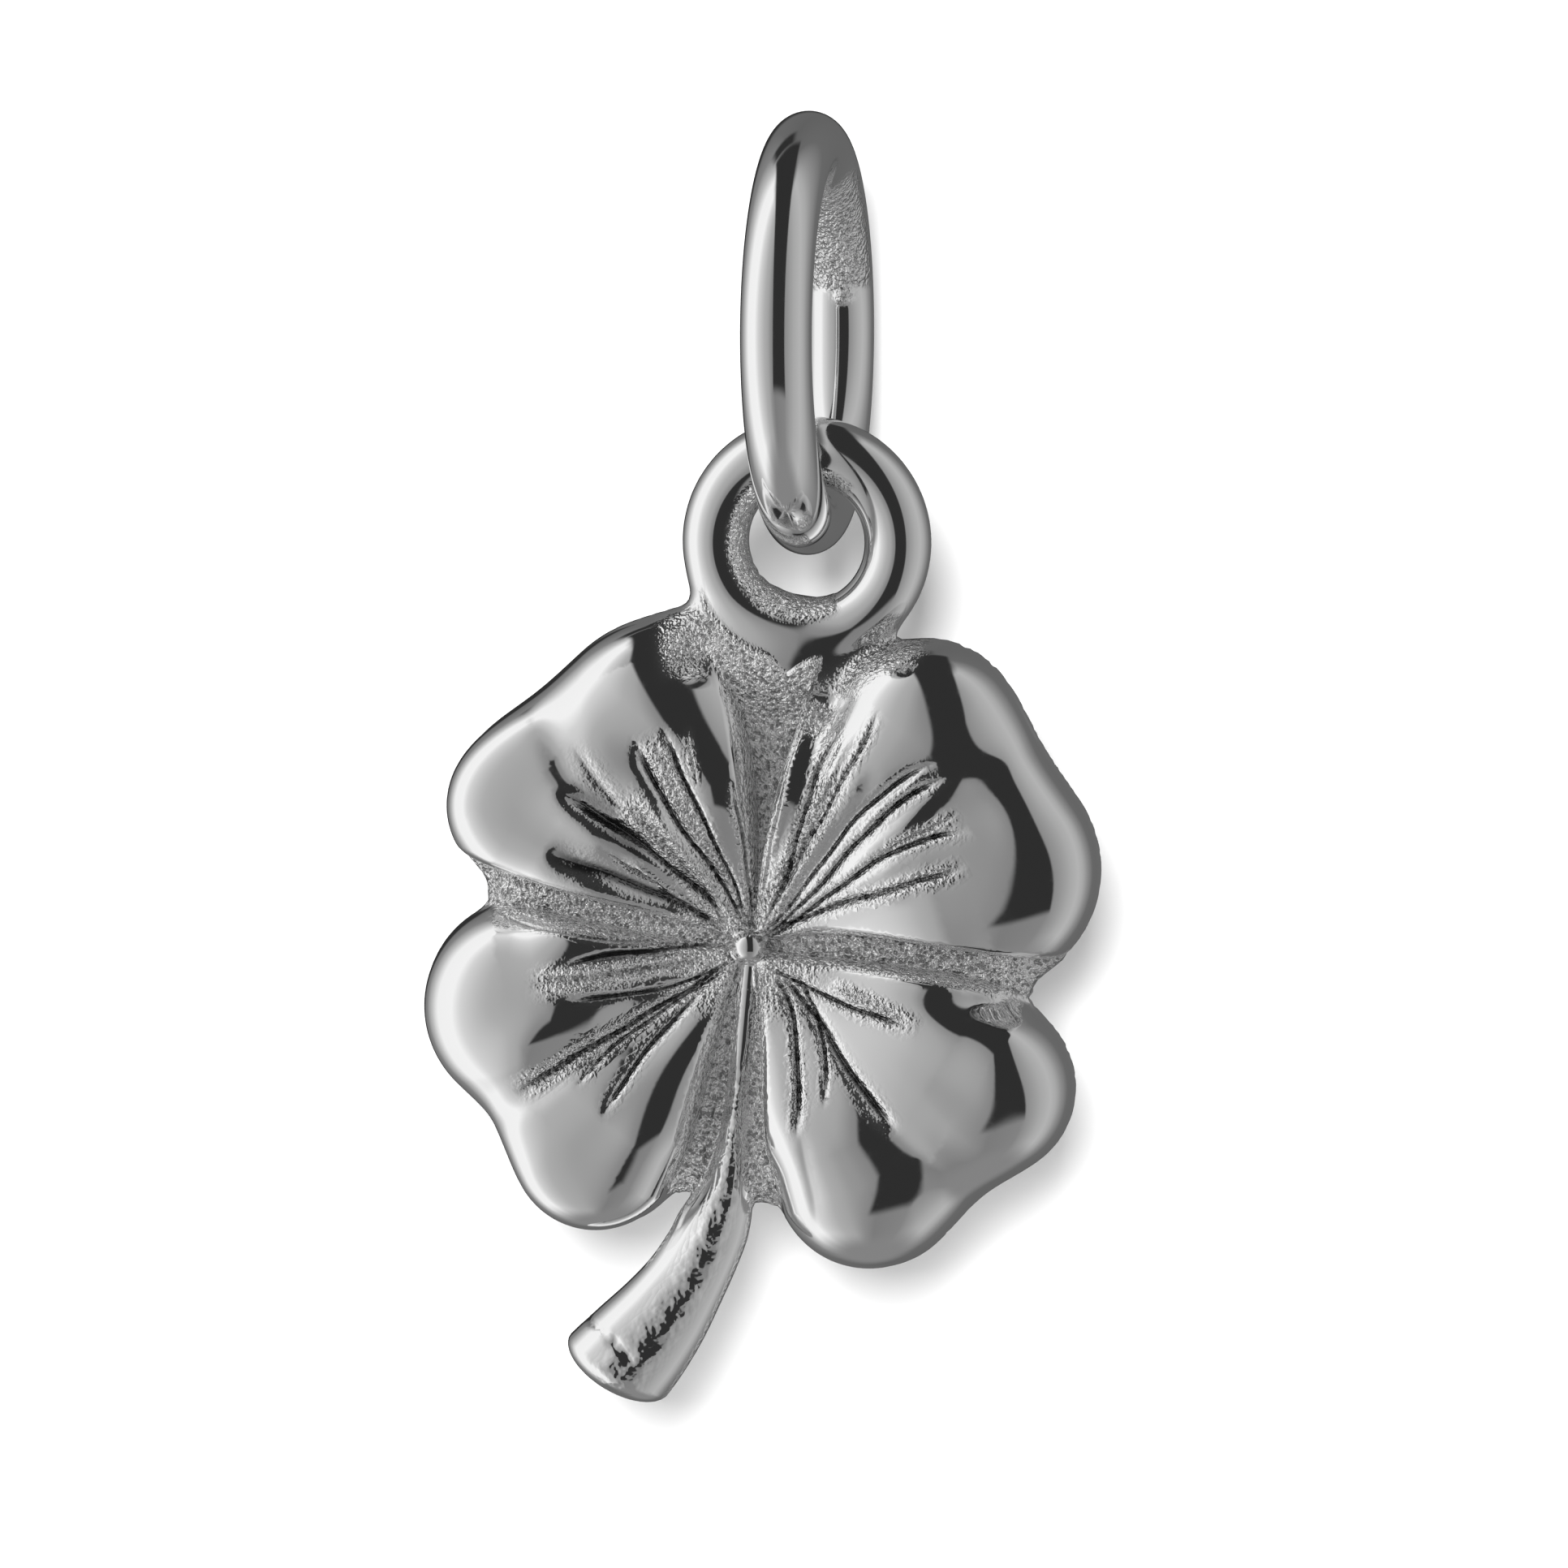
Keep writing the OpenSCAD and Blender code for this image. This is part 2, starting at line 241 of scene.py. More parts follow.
class Clover:
    """The charm as a field that is negative inside the metal, in mm in the charm's frame."""

    # The neck is a smooth swelling below the eyelet: its middle, and its reach across, out and up
    NECK_MIDDLE = (-0.3, 4.62)
    NECK_REACH = (1.62, 0.62, 0.93)
    # The neck's smooth fan widens upwards from its tip: the tip, and how steeply its sides rise
    FAN_TIP, FAN_RISE = (0.05, 4.36), 0.85
    # How far the pleats' depth reaches onto the grooves' floor, as a share, and the least height of the front
    FLOOR_CUT, THINNEST = 0.4, 0.08
    # Height of the bead's middle, as a share of the core's
    BEAD_SHARE = 0.85
    # Lengths over which the parts of the casting run into each other
    BLEND = {"web": 0.1, "neck": 0.22, "stem": 0.1, "bead": 0.08, "head": 0.3}

    def __init__(self, sizes):
        self.reach = sizes.reach / MM
        self.web = sizes.web_reach / MM
        self.dome = sizes.dome_height / MM
        self.core = sizes.core_height / MM
        self.floor = sizes.floor_height / MM
        self.back = sizes.back_depth / MM
        self.rim = sizes.edge_round / MM
        self.bead = sizes.bead_width / MM / 2
        self.stem_reach = sizes.stem_reach / MM
        self.stem_half = sizes.stem_width / MM / 2
        self.stem_flat = sizes.stem_flatness
        self.fullness = sizes.dome_fullness
        self.flank = sizes.flank_run / MM
        self.shoulder = sizes.shoulder_drop
        self.relief = sizes.pleat_relief
        self.eyelet_wire = sizes.eyelet_wire / MM / 2
        self.eyelet_r = (sizes.eyelet_hole / MM + sizes.eyelet_wire / MM) / 2
        self.eyelet_up = sizes.eyelet_rise / MM
        self.stem_line = self.stem_curve()

    def lobes(self, across, up):
        """Distance to each lobe's edge, and the lobe's radius and height there."""
        edges, radii, heights = [], [], []
        for angle, centre, radius, _ in LOBES:
            c, s = math.cos(math.radians(angle)), math.sin(math.radians(angle))
            length = centre * self.reach
            along = np.clip(across * c + up * s, 0, length)
            r = radius * self.reach * (LOBE_ROOT + (1 - LOBE_ROOT) * along / length)
            rise = ease((along / length - RISE_START) / RISE_RUN)
            edges.append(np.hypot(across - along * c, up - along * s) - r)
            radii.append(r)
            heights.append(self.core + (self.dome - self.core) * rise)
        return np.array(edges), np.array(radii), np.array(heights)

    def plan(self, across, up):
        """What depends on the place in the clover's plane alone, as named arrays."""
        edges, radii, heights = self.lobes(across, up)
        leaf = [blend_min(edges[2 * i], edges[2 * i + 1], LOBE_BLEND * self.reach) for i in range(4)]
        k = LEAF_BLEND * self.reach
        leaves = blend_min(blend_min(leaf[0], leaf[1], k), blend_min(leaf[2], leaf[3], k), k)
        r = np.hypot(across, up)
        outline = blend_min(leaves, r - self.web, WEB_BLEND * self.reach)
        soft = np.exp((edges.min(0) - edges) / (RADIUS_MIX * self.reach))
        radius = (soft * radii).sum(0) / soft.sum(0)
        weights = np.exp((edges.min(0) - edges) / (HEIGHT_MIX * self.reach))
        weights /= weights.sum(0)
        full = self.fullness * np.tensordot([share for *_, share in LOBES], weights, 1)
        turn = np.degrees(np.arctan2(up, across))
        inside, drop = self.shoulders(turn, r)
        climb = np.clip(inside / self.flank, 0, 1)
        flank = np.sqrt(climb * (2 - climb))
        cut, grain, soot = self.pleats(turn, r)
        swells = sum(
            rise * np.exp(-(beside(turn, r, angle) / wide) ** 2 - ((r - away) / long) ** 2)
            for angle, away, wide, long, rise in SWELLS
        )
        height = self.floor + ((weights * heights).sum(0) - drop + swells - self.floor) * flank
        swell = ease((r - SWELL_START) / SWELL_RUN) * np.maximum(radius + leaves, 0) / radius
        depth = cut * (self.FLOOR_CUT + (1 - self.FLOOR_CUT) * flank)
        side, half, rise = self.stem(across, up)
        hole = np.hypot(across, up - self.eyelet_up)
        middle, reach = self.NECK_MIDDLE, self.NECK_REACH
        return SimpleNamespace(
            across=across, up=up, r=r, leaves=leaves, flank=flank, radius=radius, full=full,
            grain=grain, soot=soot, stem_side=side, stem_half=half, stem_rise=rise, hole=hole,
            spread=swell ** full,
            edge=(np.maximum(self.rim + outline, 0) / self.rim) ** 2,
            height=np.maximum(height - depth, self.THINNEST),
            neck=((across - middle[0]) / reach[0]) ** 2 + ((up - middle[1]) / reach[2]) ** 2,
        )

    def shoulders(self, turn, r):
        """How far a place lies inside a leaf's edges, negative in the grooves, and its shoulder's fall."""
        inside, drop = np.full(r.shape, -9.0), np.zeros(r.shape)
        share = np.clip((r - 1) / 3, -0.2, 1.3)
        for edges in LEAVES:
            least, fall = np.full(r.shape, 9.0), np.zeros(r.shape)
            for side, near, half, far, short, long, gentle, steep in edges:
                angle = side * past(turn, bend(share, near, half, far))
                away = r * np.sin(np.radians(np.clip(angle, -90, 90)))
                run = np.maximum(short + (long - short) * share, 0.02)
                slope = self.shoulder * np.maximum(gentle + (steep - gentle) * share, 0.05)
                fall = np.maximum(fall, slope / 2 * run * np.clip(1 - away / run, 0, 1) ** 2)
                least = np.minimum(least, away)
            drop = np.where(least > 0, fall, drop)
            inside = np.maximum(inside, least)
        return inside, drop

    def pleats(self, turn, r):
        """How deep the pleats are cut, how grainy the metal is there, and how much shade is painted dark into
        their bottoms.
        """
        cut, grain, soot = (np.zeros(r.shape) for _ in range(3))
        inner = r < 5.6
        turn, r = turn[inner], r[inner]
        share = (r - 1) / 3
        total, rough, dark = (np.zeros(r.shape) for _ in range(3))
        for i, (near, half, far, root, tip, wide, deep, grainy) in enumerate(PLEATS):
            # Every pleat wavers a little and widens outwards, and it fades in and out over 0.6 mm
            side = np.radians(past(turn, bend(share, near, half, far))) * r + 0.012 * np.sin(5 * r + 2 * i)
            side = side / (wide * (0.5 + 0.15 * r))
            fade = ease((r - root + 0.3) / 0.6) * ease((tip + 0.05 - r) / 0.6)
            if deep > 0:
                # A sharp-bottomed groove, with shade painted dark along its bottom where it is deep
                total += deep * fade * np.exp(-1.7 * (np.sqrt(side ** 2 + 0.02) - 0.14))
                dark = np.maximum(dark, min(deep / 0.11, 1) * fade * np.exp(-(side / 0.42) ** 4))
            else:
                total += deep * fade * np.exp(-side ** 2)
            rough = np.maximum(rough, grainy * fade * np.exp(-(side / 1.4) ** 4))
        cut[inner], grain[inner], soot[inner] = total * self.relief, rough, dark
        return cut, grain, soot

    def stem_curve(self):
        """Many sections down the stem, on a smooth curve through its stations, with their slopes."""
        table = np.array(STEM)
        rows = np.column_stack([
            table[:, 0] * self.stem_reach,
            -table[:, 1] * self.stem_reach,
            table[:, 2] * self.stem_half,
            table[:, 3] * self.floor,
            np.radians(table[:, 4]),
        ])
        line = []
        for place in np.linspace(0, len(rows) - 1, 40 * (len(rows) - 1) + 1):
            i = min(int(place), len(rows) - 2)
            t = place - i
            a, b, c, d = rows[max(i - 1, 0)], rows[i], rows[i + 1], rows[min(i + 2, len(rows) - 1)]
            curve = 2 * a - 5 * b + 4 * c - d + t * (3 * (b - c) + d - a)
            line.append(b + 0.5 * t * (c - a + t * curve))
        line = np.array(line)
        return np.column_stack([line, np.gradient(line[:, 0]), np.gradient(line[:, 1])])

    def stem(self, across, up):
        """Distance from the stem's middle line in the plane, and its half width and rise there."""
        line = self.stem_line
        count = np.arange(len(line))
        place = np.interp(-up, -line[:, 1], count)
        for _ in range(3):
            x, z, _, _, turn, dx, dz = (np.interp(place, count, line[:, i]) for i in range(7))
            ahead = -(across - x) * np.sin(turn) - (up - z) * np.cos(turn)
            place = np.clip(place + ahead / -(dx * np.sin(turn) + dz * np.cos(turn)), 0, len(line) - 1)
        x, z, half, rise, turn = (np.interp(place, count, line[:, i]) for i in range(5))
        side = (across - x) * np.cos(turn) - (up - z) * np.sin(turn)
        ahead = -(across - x) * np.sin(turn) - (up - z) * np.cos(turn)
        beyond = np.where(place >= len(line) - 1, np.maximum(ahead, 0) / STEM_END, 0)
        short = np.where(place <= 0, np.minimum(ahead, 0), 0)
        return np.sqrt(side ** 2 + beyond ** 2 + short ** 2) * np.sign(side + 1e-12), half, rise

    def creases(self, across, up):
        """Depth of the creases across the stem."""
        depth = np.zeros(across.shape)
        for x0, z0, x1, z1, wide, deep in CREASES:
            dx, dz = x1 - x0, z1 - z0
            t = np.clip(((across - x0) * dx + (up - z0) * dz) / (dx * dx + dz * dz), 0, 1)
            away = np.hypot(across - x0 - t * dx, up - z0 - t * dz) / wide
            depth = np.maximum(depth, deep * np.exp(-away ** 2))
        return depth

    def field(self, p, out):
        """The field at places whose plan is p, at heights out of the casting's middle plane."""
        n, height, radius = p.full, p.height, p.radius
        front = (np.abs(out) / height) ** n + p.spread
        leaf = (front ** (1 / n) - 1) * np.minimum(height, radius)
        web = (np.sqrt((out / self.floor) ** 2 + p.edge) - 1) * self.floor
        back = (np.sqrt((out / self.back) ** 2 + p.edge) - 1) * min(self.back, self.rim)
        body = np.where(out > 0, blend_min(leaf, web, self.BLEND["web"]), back)
        bead = np.sqrt(p.r ** 2 + (out - self.BEAD_SHARE * self.core) ** 2) - self.bead
        stem = np.sqrt(p.stem_side ** 2 + ((out - p.stem_rise) / self.stem_flat) ** 2) - p.stem_half
        stem = stem + self.creases(p.across, p.up) * (out > 0)
        tube = np.hypot(p.hole - self.eyelet_r, out) - self.eyelet_wire
        neck = (np.sqrt(p.neck + (out / self.NECK_REACH[1]) ** 2) - 1) * self.NECK_REACH[1]
        head = blend_min(tube, neck, self.BLEND["neck"])
        body = blend_min(body, stem, self.BLEND["stem"])
        body = blend_min(body, bead, self.BLEND["bead"])
        return blend_min(body, head, self.BLEND["head"])

    def slope(self, points, step=1e-4):
        """The field at points, and its slope there."""
        across, out, up = points.T
        here = self.plan(across, up)
        value = self.field(here, out)
        return value, np.stack([
            self.field(self.plan(across + step, up), out) - value,
            self.field(here, out + step) - value,
            self.field(self.plan(across, up + step), out) - value,
        ], 1) / step

    def settle(self, points, rounds):
        """Moves points onto the surface, a little at a time."""
        for _ in range(rounds):
            value, slope = self.slope(points)
            move = -slope * (value / np.maximum((slope ** 2).sum(1), 1e-4))[:, None]
            length = np.maximum(np.linalg.norm(move, axis=1), 1e-9)
            points = points + move * np.minimum(1, 0.05 / length)[:, None]
        return points

    def wear_and_groove_shade(self, points):
        """How grainy and beaten the metal is, and how much shade is painted dark into the pleats' bottoms,
        each from 0 to 1.
        """
        across, out, up = points.T
        p = self.plan(across, up)
        front = ease((out - 0.02) / 0.08)
        fan = ease((up - self.FAN_TIP[1] - self.FAN_RISE * np.abs(across - self.FAN_TIP[0])) / 0.1)
        # The grooves' floors are grainy, and what lies low near the bead, but the fan is smooth
        top = p.height * np.maximum(1 - p.spread, 0) ** (1 / p.full)
        low = 1 - ease((p.flank - 0.70) / 0.25)
        low = np.maximum(low, (1 - ease((top - 0.5) / 0.3)) * (1 - ease((p.r - 3.9) / 0.3))) * (1 - fan)
        rim = ease((p.hole - 1.75) / 0.2)
        # Also grainy are the leaves' borders beside the neck, and the eyelet's inner wall but for its right
        border = np.exp(-((p.leaves + 0.04) / 0.18) ** 2) * ease((up - 4.1) / 0.3)
        border = border * ease((2.1 - np.abs(across - 0.2)) / 0.4) * (1 - fan)
        round_hole = np.degrees(np.arctan2(up - self.eyelet_up, across))
        wall = 0.3 * (1 - ease((p.hole - 1.17) / 0.1)) * (1 - ease((62 - np.abs(round_hole)) / 12))
        off_stem = ease((np.abs(p.stem_side) - p.stem_half + 0.05) / 0.1)
        off_bead = ease((p.r - self.bead) / 0.12)
        grain = np.maximum(low * off_stem, border) * rim
        grain = np.maximum(np.maximum(grain, 0.75 * p.grain * off_stem) * off_bead, wall)
        crown = (p.stem_side / p.stem_half - 0.12) / 0.4
        beaten = np.exp(-crown ** 4) * (1 - off_stem) * ease((-1.5 - up) / 0.8)
        # Shade painted dark into the pleats' bottoms, kept off the stem and the bead
        soot = p.soot * off_stem * off_bead
        return grain * front, soot * front, beaten * front


def window(start, size):
    """The slices that take a block of a grid, from its first corner."""
    return tuple(slice(a, a + n) for a, n in zip(start, size))


def net_surface(values, low, step):
    """A mesh of quads where a grid of values changes sign, with one vertex in each cell that it crosses."""
    cells = np.array(values.shape) - 1
    unit = np.eye(3, dtype=int)
    total, hits = np.zeros((*cells, 3)), np.zeros(cells)
    for axis in range(3):
        others = [a for a in range(3) if a != axis]
        for shifts in ((0, 0), (0, 1), (1, 0), (1, 1)):
            start = shifts @ unit[others]
            a = values[window(start, cells)]
            b = values[window(start + unit[axis], cells)]
            crossed = (a < 0) != (b < 0)
            total[..., axis] += np.where(crossed, a / np.where(crossed, a - b, 1), 0)
            total += crossed[..., None] * start
            hits += crossed
    used = hits > 0
    number = np.full(cells, -1)
    number[used] = np.arange(used.sum())
    points = low + step * (np.argwhere(used) + total[used] / hits[used][:, None])
    quads = []
    for axis in range(3):
        b, c = unit[(axis + 1) % 3], unit[(axis + 2) % 3]
        start, size = b + c, cells - b - c
        first = values[window(start, size)] < 0
        second = values[window(start + unit[axis], size)] < 0
        around = [number[window(corner, size)] for corner in (start - b - c, start - c, start, start - b)]
        ring = np.stack(around, -1)
        quads.append(ring[first & ~second])
        quads.append(ring[~first & second][:, ::-1])
    return points, np.concatenate(quads)


def cut_quads(points, quads):
    """Two triangles for each quad, along its shorter diagonal."""
    a, b, c, d = quads.T
    across = np.linalg.norm(points[a] - points[c], axis=1) < np.linalg.norm(points[b] - points[d], axis=1)
    one = np.where(across[:, None], np.stack([a, b, c], 1), np.stack([a, b, d], 1))
    two = np.where(across[:, None], np.stack([a, c, d], 1), np.stack([b, c, d], 1))
    return np.concatenate([one, two])


def relax(points, triangles, share=0.5):
    """Moves each point part of the way to the mean of its neighbours."""
    total, hits = np.zeros(points.shape), np.zeros(len(points))
    for i in range(3):
        a, b = triangles[:, i], triangles[:, (i + 1) % 3]
        np.add.at(total, a, points[b])
        np.add.at(hits, a, 1)
    return points + share * (total / hits[:, None] - points)


def split_long(points, triangles, longest):
    """Splits every edge that is longer than its limit, so that each triangle becomes one to four."""
    edges = np.sort(np.concatenate([triangles[:, [i, (i + 1) % 3]] for i in range(3)]), axis=1)
    unique, place = np.unique(edges, axis=0, return_inverse=True)
    place = place.reshape(3, -1).T
    middle = points[unique].mean(1)
    long = np.linalg.norm(points[unique[:, 0]] - points[unique[:, 1]], axis=1) > longest(middle)
    number = np.full(len(unique), -1)
    number[long] = len(points) + np.arange(long.sum())
    new = number[place]
    marked = new >= 0
    count = marked.sum(1)
    parts = [triangles[count == 0]]

    def add(rows, *shapes):
        parts.extend(np.stack([corner[rows] for corner in shape], 1) for shape in shapes)

    for turn in ([0, 1, 2], [1, 2, 0], [2, 0, 1]):
        a, b, c = triangles[:, turn].T
        m, n, _ = new[:, turn].T
        first, second, _ = marked[:, turn].T
        add((count == 1) & first, (a, m, c), (m, b, c))
        add((count == 2) & first & second, (m, b, n), (a, m, n), (a, n, c))
    a, b, c = triangles.T
    m, n, o = new.T
    add(count == 3, (a, m, o), (m, b, n), (o, n, c), (m, n, o))
    return np.concatenate([points, middle[long]]), np.concatenate(parts)


# Room round the charm in the grid of cells, in mm: beside it, beyond the stem's end and above the eyelet
SIDE_ROOM, STEM_ROOM, EYELET_ROOM = 0.4, 1.2, 2.4
# Longest edges of the charm's triangles, in mm: in a pleat, on grain or at the neck, on the front and behind
PLEAT_EDGE, GRAIN_EDGE, FRONT_EDGE, BACK_EDGE = 0.038, 0.064, 0.12, 0.22
MOST_TRIANGLES = 200000


def clover_mesh(clover, step):
    """The charm's points and triangles, meshed in cells of one size and refined where its detail is fine."""
    side = clover.reach + SIDE_ROOM
    low = np.array([-side, -clover.eyelet_wire - SIDE_ROOM, -clover.stem_reach - STEM_ROOM])
    high = np.array([side, clover.dome + SIDE_ROOM, clover.eyelet_up + EYELET_ROOM])
    across, out, up = (np.arange(low[i], high[i], step) for i in range(3))
    flat = clover.plan(*np.meshgrid(across, up, indexing="ij"))
    points, quads = net_surface(np.stack([clover.field(flat, level) for level in out], 1), low, step)
    triangles = cut_quads(points, quads)
    for _ in range(2):
        points = clover.settle(relax(points, triangles), 2)

    def longest(at):
        p = clover.plan(at[:, 0], at[:, 2])
        front = at[:, 1] > 0.1
        pleat = front & (p.soot > 0.05)
        rough = front & ((p.grain > 0.1) | (at[:, 2] > clover.web - 0.3))
        return np.select([pleat, rough, front], [PLEAT_EDGE, GRAIN_EDGE, FRONT_EDGE], BACK_EDGE)

    for _ in range(4):
        before = len(points)
        points, triangles = split_long(points, triangles, longest)
        if len(points) == before:
            break
        points[before:] = clover.settle(points[before:], 2)
    if len(triangles) > MOST_TRIANGLES:
        raise RuntimeError(f"the charm has {len(triangles)} triangles")
    return points, triangles


def math_operator(operation, swapped=False):
    """One of Python's operators on Num, as a Math node."""
    def method(self, other):
        return self.maker.math(operation, other, self) if swapped else self.maker.math(operation, self, other)
    return method


class Num:
    """A number in a node tree. Python's operators on it add Math nodes."""

    def __init__(self, maker, socket):
        self.maker = maker
        self.socket = socket

    def __neg__(self):
        return self * -1.0

    __add__ = __radd__ = math_operator("ADD")
    __mul__ = __rmul__ = math_operator("MULTIPLY")
    __sub__ = math_operator("SUBTRACT")
    __rsub__ = math_operator("SUBTRACT", swapped=True)
    __truediv__ = math_operator("DIVIDE")


class Maker:
    """Adds nodes to one tree."""

    def __init__(self, tree):
        self.tree = tree
        tree.nodes.clear()

    def node(self, kind, settings=None, values=None):
        """Adds a node, sets its settings, and then the values or links of its sockets."""
        made = self.tree.nodes.new(kind)
        for name, value in (settings or {}).items():
            if name == "stops":
                self.stops(made.color_ramp, value)
            else:
                setattr(made, name, value)
        for name, value in (values or {}).items():
            socket = self.input(made, name)
            if isinstance(value, Num):
                value = value.socket
            if isinstance(value, bpy.types.NodeSocket):
                self.tree.links.new(value, socket)
            else:
                socket.default_value = value
        return made

    @staticmethod
    def input(made, name):
        """The socket with this name or number that the node's settings leave in use."""
        if isinstance(name, int):
            return made.inputs[name]
        return next(socket for socket in made.inputs if socket.name == name and socket.enabled)

    @staticmethod
    def stops(ramp, stops):
        while len(ramp.elements) < len(stops):
            ramp.elements.new(0.5)
        for element, (place, grey) in zip(ramp.elements, stops):
            element.position = place
            element.color = (grey, grey, grey, 1)

    def output(self, kind, output, settings=None, values=None):
        """Adds a node and gives one of its output sockets."""
        return self.node(kind, settings, values).outputs[output]

    def number(self, kind, output, settings=None, values=None):
        return Num(self, self.output(kind, output, settings, values))

    def math(self, operation, a, b=None):
        values = {0: a} if b is None else {0: a, 1: b}
        return self.number("ShaderNodeMath", 0, {"operation": operation}, values)

    def step(self, value, low, high, start=0.0, end=1.0):
        """A smooth change from start to end as the value goes from low to high."""
        values = {"Value": value, "From Min": low, "From Max": high, "To Min": start, "To Max": end}
        return self.number("ShaderNodeMapRange", "Result", {"interpolation_type": "SMOOTHSTEP"}, values)

    def band(self, value, start, full, fade, end):
        """A smooth rise from start to full and a smooth fall from fade to end."""
        return self.step(value, start, full) * self.step(value, fade, end, 1.0, 0.0)

    def noise(self, place, scale, detail, roughness=0.5):
        values = {"Vector": place, "Scale": scale, "Detail": detail, "Roughness": roughness}
        return self.number("ShaderNodeTexNoise", "Fac", values=values)

    def attribute(self, name):
        return self.number("ShaderNodeAttribute", "Fac", {"attribute_name": name})

    def axes(self, vector):
        """The three coordinates of a vector."""
        split = self.node("ShaderNodeSeparateXYZ", values={"Vector": vector})
        return [Num(self, split.outputs[axis]) for axis in "XYZ"]


def node_material(name):
    """A new material, and the maker of its nodes."""
    material = bpy.data.materials.new(name)
    material.use_nodes = True
    return material, Maker(material.node_tree)


def add_object(name, data):
    made = bpy.data.objects.new(name, data)
    bpy.context.scene.collection.objects.link(made)
    return made


# Roughness of the silver where it is polished best
POLISH = 0.05
# How fine the silver's faint waves, its scuffs and its dents are, in turns to a metre
WAVES, SCUFFS, DENTS = 700.0, 5200.0, 3400.0


def silver(name, finish, wear_and_shade_colour, rough, ripple, cast):
    """Silver, bright where polished, and darker, rougher and pitted where casting or solder left it so. On
    the cast charm, shade is also painted near-black into the pleats' bottoms.
    """
    material, m = node_material(name)
    place = m.output("ShaderNodeTexCoord", "Object")
    grain = m.attribute("grain")
    waves = m.noise(place, WAVES, 2.0)
    scuffs = m.noise(place, SCUFFS, 3.0)
    pits = m.noise(place, 1 / finish.grain_size, 1.2, 0.6)
    height = waves * ripple + grain * pits * (finish.grain_size * finish.pit_depth)
    pit_tone_and_painted_shade = grain * m.step(pits, 0.36, 0.50, 0.60, 0.0)
    if cast:
        height = height + m.attribute("beaten") * m.noise(place, DENTS, 2.0) * finish.dent_depth
        # Painted shade: the pleats' deep bottoms are coloured towards the dark colour, standing in for the
        # shade there
        pit_tone_and_painted_shade = pit_tone_and_painted_shade + m.attribute("soot") * 0.85
    tone = m.node(
        "ShaderNodeMix", {"data_type": "RGBA"}, {"Factor": pit_tone_and_painted_shade, "A": (*finish.bright, 1), "B": (*wear_and_shade_colour, 1)}
    )
    bump = m.output("ShaderNodeBump", "Normal", values={"Height": height, "Strength": 1.0, "Distance": 1.0})
    shader = m.output("ShaderNodeBsdfPrincipled", "BSDF", values={
        "Base Color": next(socket for socket in tone.outputs if socket.enabled),
        "Metallic": 1 - grain * 0.06,
        "Roughness": POLISH + 0.05 * m.step(scuffs, 0.45, 0.75) + grain * (rough - POLISH),
        "Normal": bump,
    })
    m.node("ShaderNodeOutputMaterial", values={"Surface": shader})
    return material


def mesh_object(name, points, faces):
    mesh = bpy.data.meshes.new(name)
    mesh.from_pydata(points, [], faces)
    mesh.validate()
    mesh.shade_smooth()
    return add_object(name, mesh)


class PENDANT_PG_ring(bpy.types.PropertyGroup):
    outside: FloatProperty(
        name="Outside diameter", description="Outside diameter of the jump ring",
        default=RING_OUTSIDE, unit="LENGTH", precision=5,
    )
    wire: FloatProperty(
        name="Wire", description="Diameter of the ring's wire",
        default=RING_WIRE, unit="LENGTH", precision=5,
    )
    seam_angle: FloatProperty(
        name="Seam angle", description="Where the soldered seam is, round from the ring's back",
        default=math.radians(14), subtype="ANGLE",
    )
    seam_height: FloatProperty(
        name="Seam height", description="How far the solder stands out or sinks in",
        default=0.014 * MM, unit="LENGTH", precision=5,
    )
    seam_width: FloatProperty(
        name="Seam width", description="Width of the solder along the wire",
        default=0.13 * MM, unit="LENGTH", precision=5,
    )
    filed_angle: FloatProperty(
        name="Filed stretch", description="How far the wire's inner side is filed dull above the seam",
        default=math.radians(62), subtype="ANGLE",
    )


